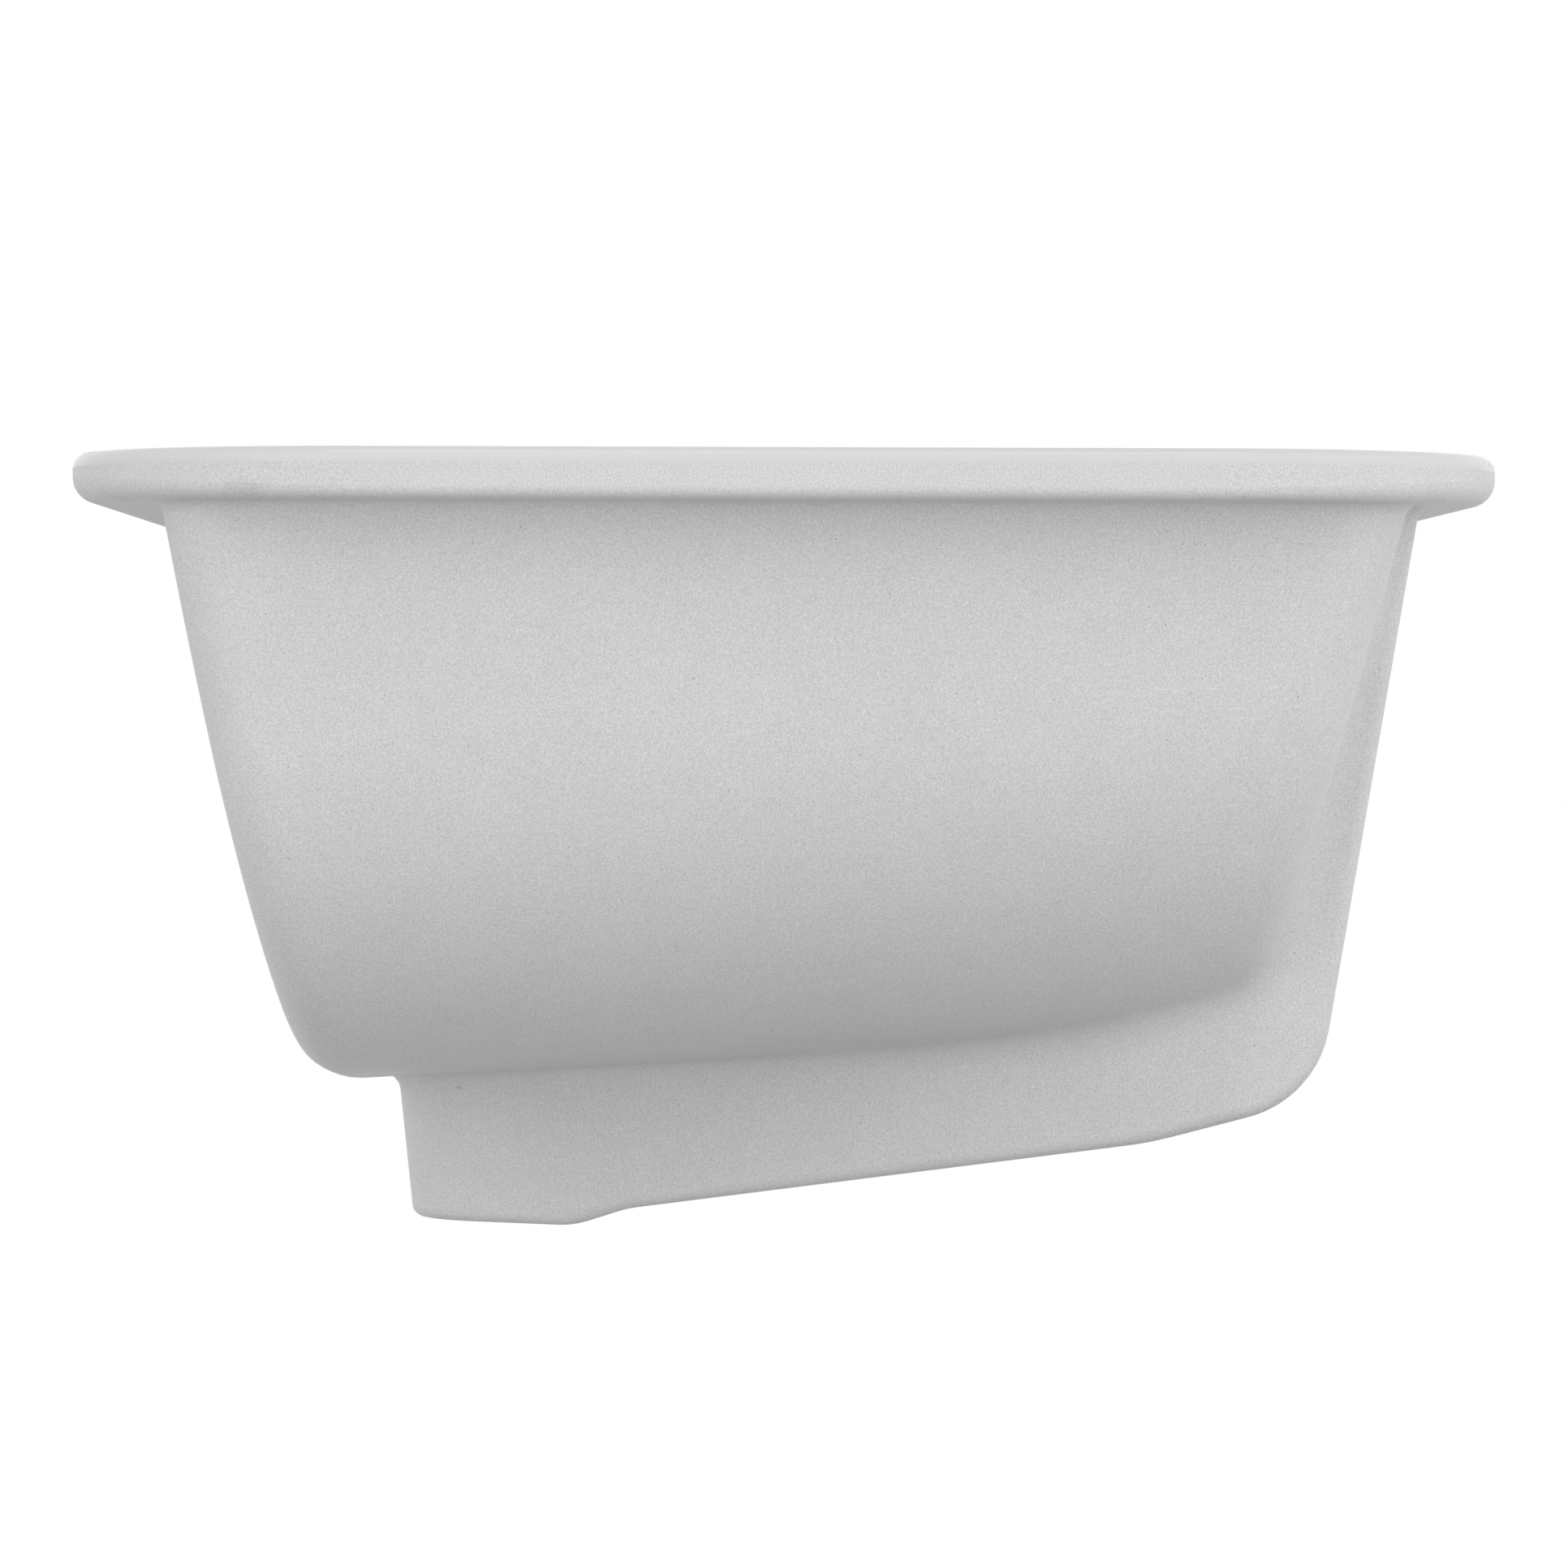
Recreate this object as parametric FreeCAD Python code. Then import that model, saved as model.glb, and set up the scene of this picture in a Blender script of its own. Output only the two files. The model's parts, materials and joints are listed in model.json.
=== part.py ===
import FreeCAD, Part
import os
from math import acos, asin, atan2, cos, degrees, pi, radians, sin, sqrt, tan

# Undermount bathroom sink: one vitreous china basin with its overflow duct, an overflow trim ring
# and a compact push-to-open waste that stays inside the basin's foot.
# Sizes are in millimetres. The origin is the middle of the rim's flat top, with +Z up.
# X runs along the sink, +Y goes to the back, where the drain is, and -Y to the front.

Vec = FreeCAD.Vector

# Rim, the flat flange that is fixed under a counter
rim_length = 520.0
rim_depth = 381.0
rim_thickness = 13.4
rim_width = 26.0
rim_corner_radius = 80.0
rim_top_round = 4.0
rim_under_round = 7.0
rim_end_round = 3.2
rim_inner_round = 5.0
rim_blend = 4.0

# Bowl, measured on its outside
wall = 9.5
back_edge_radius = 15.0
front_edge_radius = 20.0
front_low_radius = 10.0
bowl_inner_radius = 22.0
floor_depth = 167.7
floor_fall = radians(3.2)
floor_sweep = 1400.0
end_draft = radians(9.0)
end_sweep = 110.0
back_draft = radians(10.2)
back_bulge = 2200.0
front_draft = radians(14.8)
front_bulge = 20000.0

# Foot under the drain, and the overflow housing that runs from it up the front wall
drain_from_back = 120.0
foot_height = 44.3
foot_radius = 35.0
foot_draft = radians(6.0)
foot_step = 5.5
foot_ramp_start = 28.0
foot_ramp_end = 12.5
foot_ramp_round = 25.0
duct_slope = radians(9.45)
duct_wall = 6.0
toe_from_front = 89.4
toe_slope = radians(17.1)
toe_round = 95.0
housing_half_width = 152.0
housing_side_draft = radians(13.0)
housing_bend = 61.0
housing_bend_round = 40.0
housing_margin = 10.2
housing_draft = radians(8.5)
housing_corner_radius = 30.0
housing_edge_round = 3.5
crease_blend_foot = 5.5
crease_blend_front = 12.0
crease_blend_top = 5.0
crease_low = 140.0
crease_high = 105.0

# Drain hole in the basin
seat_drop = 4.2
seat_radius = 31.0
seat_slope = radians(60.0)
seat_rise = 9.0
seat_round = 3.0
collar_width = 8.0
throat_fit = 1.6
port_width = 16.0
port_height = 13.0
nut_recess_depth = 15.0
nut_recess_radius = 28.5

# Overflow hole and its trim ring
overflow_drop = 62.0
overflow_radius = 11.0
trim_lip = 4.0
trim_thickness = 2.2
trim_outer_round = 1.3
trim_inner_round = 1.7
trim_wall = 1.3
trim_reach = 1.5
trim_fit = 0.2
trim_seat = 0.05

# Waste: flanged sleeve, its seals and the nut that clamps it
flange_margin = 1.0
flange_thickness = 2.2
flange_round = 1.0
sleeve_radius = 20.9
sleeve_wall = 3.4
sleeve_inset = 0.5
outlet_radius = 16.1
outlet_depth = 12.0
throat_round = 4.5
slot_width = 9.0
slot_count = 4
slot_inset = 1.6
flange_seal_thickness = 1.5
flange_seal_margin = 1.0
gasket_thickness = 2.5
washer_thickness = 1.0
nut_height = 8.0
nut_notch = 5.0
nut_notch_count = 6
recess_fit = 0.6
thread_fit = 0.05

# Push cartridge that stands in the sleeve's bridge
bridge_drop = 25.0
bridge_height = 5.0
bridge_arm = 4.0
hub_wall = 3.4
barrel_drop = 7.0
barrel_bore = 6.2
barrel_wall = 1.8
barrel_lip = 2.0
barrel_collar = 2.0
plug_spigot = 2.0
plug_flange = 1.5
rib_count = 3
rib_angle = radians(14.0)
rib_depth = 1.0
rib_grip = 3.0
running_fit = 0.1
running_gap = 0.3

# Moving pieces, drawn open, with the stopper up
stopper_travel = 8.0
stem_radius = 3.0
head_height = 3.0
rotor_height = 4.0
rotor_pin_radius = 2.0
spring_block = 8.5
spring_wire = 1.0
spring_fit = 1.5
spring_turns = 5
cap_margin = 0.5
cap_edge = 3.0
cap_rise = 3.5
cap_round = 1.2
cap_boss_wall = 3.5
cap_boss_drop = 3.0
cap_thread = 2.0
closing_gap = 0.3
stopper_seal_margin = 1.5
stopper_seal_width = 4.5
stopper_seal_thickness = 2.0
stopper_seal_sunk = 0.8

# How far a cutting shape reaches past the face that it cuts, and how near counts as touching
overcut = 1.0
near = 0.01

# Places that follow from the sizes above
drain_y = rim_depth / 2 - drain_from_back
housing_setback = rim_under_round + rim_blend + housing_margin
floor_under = -floor_depth - drain_y * tan(floor_fall)
foot_bottom = floor_under - foot_height
seat_z = floor_under + wall - seat_drop
collar_radius = seat_radius + collar_width
throat_radius = sleeve_radius + throat_fit
port_top = seat_z - wall
port_bottom = port_top - port_height
shoulder_z = foot_bottom + nut_recess_depth
flange_radius = seat_radius - flange_margin
flange_under = seat_z + flange_seal_thickness
flange_top = flange_under + flange_thickness
sleeve_bore = sleeve_radius - sleeve_wall
sleeve_bottom = foot_bottom + sleeve_inset
outlet_top = sleeve_bottom + outlet_depth
recess_part_radius = nut_recess_radius - recess_fit
barrel_radius = barrel_bore + barrel_wall
hub_top = flange_top - bridge_drop
barrel_top = flange_top - barrel_drop
head_top = barrel_top - barrel_lip - running_gap
head_bottom = head_top - head_height
rotor_top = head_bottom - running_gap
rotor_bottom = rotor_top - rotor_height
spring_bottom = rotor_bottom - stopper_travel - spring_block
barrel_bottom = spring_bottom - plug_spigot
rib_bottom = rotor_top - rib_grip
rotor_radius = barrel_bore - running_gap
spring_radius = barrel_bore - spring_fit - spring_wire / 2
cap_radius = flange_radius - cap_margin
cap_boss_radius = stem_radius + cap_boss_wall
stopper_seal_outer = cap_radius - stopper_seal_margin
stopper_seal_inner = stopper_seal_outer - stopper_seal_width
cap_under = (flange_top + closing_gap + stopper_travel
             + stopper_seal_thickness - stopper_seal_sunk)
stem_top = cap_under + cap_thread


def line(a, b):
    return Part.LineSegment(a, b).toShape()


def arc(a, b, c):
    return Part.Arc(a, b, c).toShape()


def rounded(points, radii):
    # Closed outline of straight runs, with an arc of its own radius at each corner; 0 stays sharp
    starts, middles, ends = [], [], []
    for i, corner in enumerate(points):
        before = (points[i - 1] - corner).normalize()
        after = (points[(i + 1) % len(points)] - corner).normalize()
        half = before.getAngle(after) / 2
        reach = radii[i] / tan(half)
        starts.append(corner + before * reach)
        ends.append(corner + after * reach)
        middles.append(corner + (before + after).normalize() * (radii[i] / sin(half) - radii[i]))
    edges = []
    for i in range(len(points)):
        if radii[i] > 0:
            edges.append(arc(starts[i], middles[i], ends[i]))
        edges.append(line(ends[i], starts[(i + 1) % len(points)]))
    return Part.Wire(edges)


def solid_of(shape):
    return shape.Solids[0]


def edge_middle(edge):
    return edge.valueAt((edge.FirstParameter + edge.LastParameter) / 2)


def lies_on(shape, point):
    return shape.distToShape(Part.Vertex(point))[0] < near


def at_height(edge, z):
    points = [v.Point for v in edge.Vertexes] + [edge_middle(edge)]
    return all(abs(p.z - z) < near for p in points)


def disc(radius, bottom, top):
    return Part.makeCylinder(radius, top - bottom, Vec(0, drain_y, bottom))


def ring(outer, inner, bottom, top):
    return disc(outer, bottom, top).cut(disc(inner, bottom, top))


def turned(points, radii):
    # Solid of revolution about the drain's axis, from (radius, height) corners
    outline = rounded([Vec(r, drain_y, z) for r, z in points], radii)
    return Part.Face(outline).revolve(Vec(0, drain_y, 0), Vec(0, 0, 1), 360)


def spoke(width, inner, outer, bottom, top, angle):
    # Upright bar that points outwards from the drain's axis
    bar = Part.makeBox(outer - inner, width, top - bottom, Vec(inner, drain_y - width / 2, bottom))
    bar.rotate(Vec(0, drain_y, 0), Vec(0, 0, 1), degrees(angle))
    return bar


def sector(inner, outer, bottom, top, angle, width):
    # Part of a ring about the drain's axis, centred on one angle
    def at(radius, turn):
        return Vec(radius * cos(turn), drain_y + radius * sin(turn), bottom)
    low, high = angle - width / 2, angle + width / 2
    outline = Part.Wire([arc(at(outer, low), at(outer, angle), at(outer, high)),
                         line(at(outer, high), at(inner, high)),
                         arc(at(inner, high), at(inner, angle), at(inner, low)),
                         line(at(inner, low), at(outer, low))])
    return Part.Face(outline).extrude(Vec(0, 0, top - bottom))


def rib_turns(offset):
    return [2 * pi * i / rib_count + offset for i in range(rib_count)]


# Basin

def side_wall(z, draft, bulge, inset):
    # Distance of the front or back wall from the rim's middle at a height, and the wall's lean there
    radius = bulge - inset
    lean = asin((bulge * sin(draft) - rim_thickness - z) / radius)
    return rim_depth / 2 - rim_width - bulge * cos(draft) + radius * cos(lean), lean


def back_wall(z, inset):
    return side_wall(z, back_draft, back_bulge, inset)[0]


def front_wall(z, inset):
    return -side_wall(z, front_draft, front_bulge, inset)[0]


def cradle_outline(y, inset, top):
    # Section across the bowl: leaning ends that sweep into a gently dished floor
    floor = -floor_depth - y * tan(floor_fall)
    dish = floor + floor_sweep
    reach = floor_sweep - end_sweep
    slope = tan(end_draft)
    base = rim_length / 2 - rim_width + (rim_thickness * sin(end_draft) - end_sweep) / cos(end_draft)
    b = base * slope - dish
    root = b * b - (1 + slope * slope) * (base * base + dish * dish - reach * reach)
    centre_z = (-b - sqrt(root)) / (1 + slope * slope)
    centre_x = base + slope * centre_z
    radius = end_sweep - inset
    on_wall = -end_draft
    on_floor = atan2(centre_z - dish, centre_x)

    def at(angle):
        return Vec(centre_x + radius * cos(angle), y, centre_z + radius * sin(angle))

    low = at(on_wall)
    right = [Vec(low.x + (top - low.z) * slope, y, top), low, at((on_wall + on_floor) / 2), at(on_floor)]
    left = [Vec(-p.x, y, p.z) for p in right]
    return Part.Wire([line(left[0], right[0]),
                      line(right[0], right[1]),
                      arc(right[1], right[2], right[3]),
                      arc(right[3], Vec(0, y, floor + inset), left[3]),
                      arc(left[3], left[2], left[1]),
                      line(left[1], left[0])])


def blended(body, numbers, radius_at):
    # Rounds the numbered edges, with the radius changing evenly along each one
    sheet = FreeCAD.newDocument("blend")
    base = sheet.addObject("Part::Feature", "base")
    base.Shape = body
    blend = sheet.addObject("Part::Fillet", "blend")
    blend.Base = base
    ends = [[v.Point for v in body.Edges[n - 1].Vertexes] for n in numbers]
    blend.Edges = [(n, radius_at(e[0]), radius_at(e[-1])) for n, e in zip(numbers, ends)]
    sheet.recompute()
    result = blend.Shape.copy()
    FreeCAD.closeDocument(sheet.Name)
    return solid_of(result)


def bowl(inset, top, back_radius, front_radius, low_radius):
    # The bowl as a solid, its surface moved inwards by the inset
    cradle = Part.makeLoft([cradle_outline(rim_depth, inset, top),
                            cradle_outline(-rim_depth, inset, top)], True, True)
    heights = [top, -floor_depth / 2, -2 * floor_depth]
    back = [Vec(-rim_length, back_wall(z, inset), z) for z in heights]
    front = [Vec(-rim_length, front_wall(z, inset), z) for z in heights]
    section = Part.Wire([arc(back[0], back[1], back[2]),
                         line(back[2], front[2]),
                         arc(front[2], front[1], front[0]),
                         line(front[0], back[0])])
    block = solid_of(cradle.common(Part.Face(section).extrude(Vec(2 * rim_length, 0, 0))))
    sides = (back_wall, back_radius, back_radius), (front_wall, front_radius, low_radius)
    for wall_at, upper, lower in sides:
        edges = [n for n, e in enumerate(block.Edges, 1) if not at_height(e, top)
                 and all(abs(v.Point.y - wall_at(v.Point.z, inset)) < near for v in e.Vertexes)]
        block = blended(block, edges, lambda p: upper + (lower - upper) * min(1, (top - p.z) / floor_depth))
    return block


def bowl_outside():
    return bowl(0, -rim_thickness / 2, back_edge_radius, front_edge_radius, front_low_radius)


def bowl_inside():
    return bowl(wall, rim_thickness, bowl_inner_radius, bowl_inner_radius, bowl_inner_radius)


def under_radius(point):
    # The rim's lower edge is crisp across the ends and softens round the corners to the long sides
    share = (abs(point.y) - rim_depth / 2 + rim_corner_radius) / rim_corner_radius
    return rim_end_round + (rim_under_round - rim_end_round) * share


def rim_plate():
    corners = [Vec(sx * rim_length / 2, sy * rim_depth / 2, -rim_thickness)
               for sx, sy in ((1, 1), (-1, 1), (-1, -1), (1, -1))]
    plate = Part.Face(rounded(corners, [rim_corner_radius] * 4)).extrude(Vec(0, 0, rim_thickness))
    plate = plate.makeFillet(rim_top_round, [e for e in plate.Edges if at_height(e, 0)])
    under = [n for n, e in enumerate(plate.Edges, 1) if at_height(e, -rim_thickness)]
    return blended(plate, under, under_radius)


def duct_plan(z, inset):
    # Outline of the housing from above: straight sides at the front that turn in to the round foot
    climb = z - foot_bottom
    radius = foot_radius + climb * tan(foot_draft) - inset
    front = Vec(housing_half_width + climb * tan(housing_side_draft) - inset, -rim_depth / 2, z)
    bend = front + Vec(0, housing_bend, 0)
    span = Vec(bend.x, bend.y - drain_y, 0)
    turn = atan2(span.y, span.x) + acos(radius / span.Length)
    tangent = Vec(radius * cos(turn), drain_y + radius * sin(turn), z)
    apex = Vec(0, bend.y + (tangent.y - bend.y) * bend.x / (bend.x - tangent.x), z)
    front_left, bend_left = Vec(-front.x, front.y, z), Vec(-bend.x, bend.y, z)
    return rounded([front_left, front, bend, apex, bend_left],
                   [0, 0, housing_bend_round, radius, housing_bend_round])


def duct_profile(inset, top):
    # Side view of the housing: front face, rounded corner, rising toe, underside, ramp and flat foot
    face_y = -rim_depth / 2 + housing_setback + inset / cos(housing_draft)
    ramp_y = drain_y - foot_ramp_start
    under_z = foot_bottom + foot_step + inset / cos(duct_slope)
    toe_y = -rim_depth / 2 + toe_from_front
    toe_z = under_z + (ramp_y - toe_y) * tan(duct_slope)
    lean, rise = tan(housing_draft), tan(toe_slope)
    corner_y = (face_y - (rim_thickness + toe_z + toe_y * rise) * lean) / (1 - lean * rise)
    corner_z = toe_z + (toe_y - corner_y) * rise
    x = -rim_length / 2
    inside_y, inside_z = -rim_depth / 4, -floor_depth / 2
    far_y = drain_y + 2 * foot_radius
    points = [Vec(x, face_y - (rim_thickness + top) * lean, top),
              Vec(x, corner_y, corner_z),
              Vec(x, toe_y, toe_z),
              Vec(x, ramp_y, under_z),
              Vec(x, drain_y - foot_ramp_end, foot_bottom + inset),
              Vec(x, far_y, foot_bottom + inset),
              Vec(x, far_y, inside_z),
              Vec(x, inside_y, inside_z),
              Vec(x, inside_y, top)]
    radii = [0, housing_corner_radius - inset, toe_round, foot_ramp_round, foot_ramp_round, 0, 0, 0, 0]
    return rounded(points, radii)


def duct(inset, top):
    sides = Part.Face(duct_profile(inset, top)).extrude(Vec(rim_length, 0, 0))
    plan = Part.makeLoft([duct_plan(foot_bottom - foot_step, inset), duct_plan(0, inset)], True, True)
    return solid_of(sides.common(plan))


def housing():
    # The duct's outside, with its long outer edges rounded
    block = duct(0, -rim_thickness / 2)
    outline = duct_profile(0, -rim_thickness / 2)
    edges = []
    for edge in block.Edges:
        middle = edge_middle(edge)
        shadow = Part.Vertex(Vec(-rim_length / 2, middle.y, middle.z))
        across = abs(edge.tangentAt(edge.FirstParameter).x) > 0.99
        lower = middle.z < -floor_depth / 2 or middle.y < -rim_depth / 4
        on_outline = outline.distToShape(shadow)[0] < near
        if on_outline and lower and not across and not at_height(edge, -rim_thickness / 2):
            edges.append(edge)
    return block.makeFillet(housing_edge_round, edges)


def crease_radius(point):
    # The hollow between bowl and housing is tight round the foot, widest at the lower front corner and
    # tight again up the front wall
    front_y = front_wall(-floor_depth, 0) + front_low_radius
    along = max(0, min(1, (drain_y - point.y) / (drain_y - front_y)))
    up = max(0, min(1, (crease_low + point.z) / (crease_low - crease_high)))
    radius = crease_blend_foot + (crease_blend_front - crease_blend_foot) * along
    return radius + (crease_blend_top - radius) * up


def china_body():
    # Rim, bowl and housing as one casting, with soft hollows where they meet
    rim, outside, duct_side = rim_plate(), bowl_outside(), housing()
    body = solid_of(rim.fuse([outside, duct_side]).removeSplitter())
    bowl_skin, duct_skin = Part.Shell(outside.Faces), Part.Shell(duct_side.Faces)
    crease = [n for n, e in enumerate(body.Edges, 1)
              if edge_middle(e).z < -rim_thickness - near
              and lies_on(bowl_skin, edge_middle(e)) and lies_on(duct_skin, edge_middle(e))]
    body = blended(body, crease, crease_radius)
    rim_edges = Part.Compound(rim.Edges)
    under = [e for e in body.Edges
             if at_height(e, -rim_thickness) and not lies_on(rim_edges, edge_middle(e))]
    return body.makeFillet(rim_blend, under)


def overflow_place():
    # Middle of the overflow hole on the inner front wall, turned so that +Z points into the bowl
    y, lean = side_wall(-overflow_drop, front_draft, front_bulge, wall)
    into = Vec(0, cos(lean), sin(lean))
    return FreeCAD.Placement(Vec(0, -y, -overflow_drop), FreeCAD.Rotation(Vec(0, 0, 1), into))


def overflow_cut():
    behind = wall + 2 * trim_reach
    hole = Part.makeCylinder(overflow_radius, behind + wall, Vec(0, 0, -behind))
    hole.Placement = overflow_place()
    return hole


def passage():
    # The hollow inside the housing, from the overflow hole to the drain's collar and its port
    hollow = duct(duct_wall, -rim_thickness - duct_wall)
    hollow = hollow.cut(bowl_outside())
    back = Part.makeBox(rim_length, rim_depth, 2 * floor_depth,
                        Vec(-rim_length / 2, drain_y, foot_bottom - foot_height))
    hollow = hollow.cut([back, disc(collar_radius, foot_bottom, seat_z)])
    port_start = collar_radius + overcut
    port = Part.makeBox(port_width, port_start - throat_radius / 2, port_height,
                        Vec(-port_width / 2, drain_y - port_start, port_bottom))
    return [solid_of(hollow), port]


def drain_dish():
    dish_radius = seat_radius + seat_rise / tan(seat_slope)
    return Part.makeCone(seat_radius, dish_radius, seat_rise, Vec(0, drain_y, seat_z))


def bowl_with_dish():
    # The bowl's hollow and the seat sunk into its floor, with a soft lip between them
    inside, dish = bowl_inside(), drain_dish()
    both = solid_of(inside.fuse(dish).removeSplitter())
    floor_skin, dish_skin = Part.Shell(inside.Faces), Part.Shell(dish.Faces)
    lip = [e for e in both.Edges
           if lies_on(floor_skin, edge_middle(e)) and lies_on(dish_skin, edge_middle(e))]
    return both.makeFillet(seat_round, lip)


def drain_cut():
    # Throat and the recess for the nut, both on the drain's axis
    throat = disc(throat_radius, foot_bottom - overcut, seat_z + overcut)
    recess = disc(nut_recess_radius, foot_bottom - overcut, shoulder_z)
    return throat.fuse(recess)


def basin():
    body = china_body().cut(bowl_with_dish())
    body = body.cut([drain_cut(), overflow_cut()] + passage())
    body = solid_of(body)
    mouth = [e for e in body.Edges
             if at_height(e, 0) and abs(edge_middle(e).x) < rim_length / 2 - rim_width / 2
             and abs(edge_middle(e).y) < rim_depth / 2 - rim_width / 2]
    return body.makeFillet(rim_inner_round, mouth)


def overflow_ring():
    # Round bezel on the wall, with a short sleeve that plugs into the hole
    outer = overflow_radius - trim_fit
    inner = outer - trim_wall
    lip = outer + trim_lip
    tail = -(wall + trim_reach)
    points = [(inner, tail), (outer, tail), (outer, trim_seat), (lip, trim_seat),
              (lip, trim_thickness), (inner, trim_thickness)]
    radii = [0, 0, 0, 0, trim_outer_round, trim_inner_round]
    outline = rounded([Vec(r, 0, z) for r, z in points], radii)
    trim = Part.Face(outline).revolve(Vec(0, 0, 0), Vec(0, 0, 1), 360)
    trim.Placement = overflow_place()
    return trim


# Waste

def waste_body():
    # Flanged sleeve with slots for the overflow, a bridge for the cartridge and a socket for a tail pipe
    points = [(outlet_radius, sleeve_bottom), (sleeve_radius, sleeve_bottom), (sleeve_radius, flange_under),
              (flange_radius, flange_under), (flange_radius, flange_top), (sleeve_bore, flange_top),
              (sleeve_bore, outlet_top), (outlet_radius, outlet_top)]
    body = turned(points, [0, 0, 0, 0, flange_round, throat_round, 0, 0])
    hub_bore = barrel_radius + thread_fit
    hub_radius = hub_bore + hub_wall
    hub_bottom = hub_top - bridge_height
    arm_start, arm_end = hub_bore + hub_wall / 2, sleeve_bore + sleeve_wall / 2
    arms = [spoke(bridge_arm, arm_start, arm_end, hub_bottom, hub_top, turn) for turn in rib_turns(pi / 2)]
    body = body.fuse(arms + [ring(hub_radius, hub_bore, hub_bottom, hub_top)])
    slots = [spoke(slot_width, sleeve_bore - overcut, sleeve_radius + overcut, port_bottom + slot_inset,
                   port_top - slot_inset, pi * (2 * i + 1) / slot_count) for i in range(slot_count)]
    return body.cut(slots).removeSplitter()


def flange_seal():
    outer, inner = flange_radius - flange_seal_margin, throat_radius + flange_seal_margin
    return ring(outer, inner, seat_z, flange_under)


def lower_gasket():
    return ring(recess_part_radius, sleeve_radius + thread_fit, shoulder_z - gasket_thickness, shoulder_z)


def slip_washer():
    top = shoulder_z - gasket_thickness
    return ring(recess_part_radius, sleeve_radius + running_fit, top - washer_thickness, top)


def ring_nut():
    # Round nut with notches for a pin spanner
    top = shoulder_z - gasket_thickness - washer_thickness
    body = ring(recess_part_radius, sleeve_radius + thread_fit, top - nut_height, top)
    depth = (recess_part_radius - sleeve_radius) / 2
    inner, outer = recess_part_radius - depth, recess_part_radius + overcut
    low, high = top - nut_height - overcut, top - nut_height / 2
    notches = [spoke(nut_notch, inner, outer, low, high, 2 * pi * i / nut_notch_count)
               for i in range(nut_notch_count)]
    return body.cut(notches)


def cartridge_barrel():
    # Tube that seats on the bridge by its collar; ribs in its bore guide the plunger's head
    stem_hole = stem_radius + running_fit
    shoulder_radius = barrel_radius + hub_wall
    collar_top = hub_top + barrel_collar
    lip_under = barrel_top - barrel_lip
    points = [(barrel_bore, barrel_bottom), (barrel_radius, barrel_bottom), (barrel_radius, hub_top),
              (shoulder_radius, hub_top), (shoulder_radius, collar_top), (barrel_radius, collar_top),
              (barrel_radius, barrel_top), (stem_hole, barrel_top), (stem_hole, lip_under),
              (barrel_bore, lip_under)]
    tube = turned(points, [0] * len(points))
    inner, outer = barrel_bore - rib_depth, barrel_bore + barrel_wall / 2
    ribs = [sector(inner, outer, rib_bottom, lip_under, turn, rib_angle) for turn in rib_turns(0)]
    return tube.fuse(ribs).removeSplitter()


def cartridge_end_plug():
    spigot = disc(barrel_bore - thread_fit, barrel_bottom, spring_bottom)
    return spigot.fuse(disc(barrel_radius, barrel_bottom - plug_flange, barrel_bottom)).removeSplitter()


def plunger():
    # Stem with a splined head; a pin below the head carries the rotor
    head = disc(rotor_radius, head_bottom, head_top)
    gap = rib_angle + 2 * running_gap / (barrel_bore - rib_depth)
    inner = barrel_bore - rib_depth - running_gap
    low, high = head_bottom - overcut, head_top + overcut
    grooves = [sector(inner, barrel_bore, low, high, turn, gap) for turn in rib_turns(0)]
    stem = disc(stem_radius, head_top, stem_top - running_gap)
    pin = disc(rotor_pin_radius, rotor_bottom + running_gap, head_bottom)
    return head.cut(grooves).fuse([stem, pin]).removeSplitter()


def latch_rotor():
    # Ring on the plunger's pin, with one lug for each gap between the ribs
    core_radius = barrel_bore - rib_depth - running_gap
    core = ring(core_radius, rotor_pin_radius + running_fit, rotor_bottom, rotor_top)
    root = (core_radius + rotor_pin_radius) / 2
    lugs = [sector(root, rotor_radius, rotor_bottom, rotor_top, turn, rib_angle)
            for turn in rib_turns(pi / rib_count)]
    return core.fuse(lugs).removeSplitter()


def biarc(start, along_start, end, along_end):
    # Two tangent arcs from one point and direction to another
    chord = end - start
    both = along_start + along_end
    spread = 2 * (1 - along_start.dot(along_end))
    reach = (-chord.dot(both) + sqrt(chord.dot(both) ** 2 + spread * chord.dot(chord))) / spread
    first, last = start + along_start * reach, end - along_end * reach
    joint = (first + last) / 2
    edges = []
    for a, corner, b in ((start, first, joint), (joint, last, end)):
        half = (corner - a).getAngle(b - a)
        middle = (a + b) / 2
        edges.append(arc(a, middle + (corner - middle) * (tan(half / 2) / tan(half)), b))
    return edges


def cartridge_spring():
    # Coil spring between the end plug and the rotor, with its wire cut square at both ends
    bottom = spring_bottom + spring_wire / 2
    climb = (rotor_bottom - spring_bottom - spring_wire) / spring_turns
    quarter = pi / 2

    def at(turn):
        height = bottom + climb * turn / (2 * pi)
        return Vec(spring_radius * cos(turn), drain_y + spring_radius * sin(turn), height)

    def along(turn):
        return Vec(-spring_radius * sin(turn), spring_radius * cos(turn), climb / (2 * pi)).normalize()

    edges = []
    for i in range(4 * spring_turns):
        low, high = i * quarter, (i + 1) * quarter
        edges += biarc(at(low), along(low), at(high), along(high))
    section = Part.Wire([Part.Circle(at(0), along(0), spring_wire / 2).toShape()])
    gap = climb * cos(atan2(climb, 2 * pi * spring_radius)) - spring_wire
    print("spring: least gap between turns", round(gap, 2))
    return Part.Wire(edges).makePipeShell([section], True, False)


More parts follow.
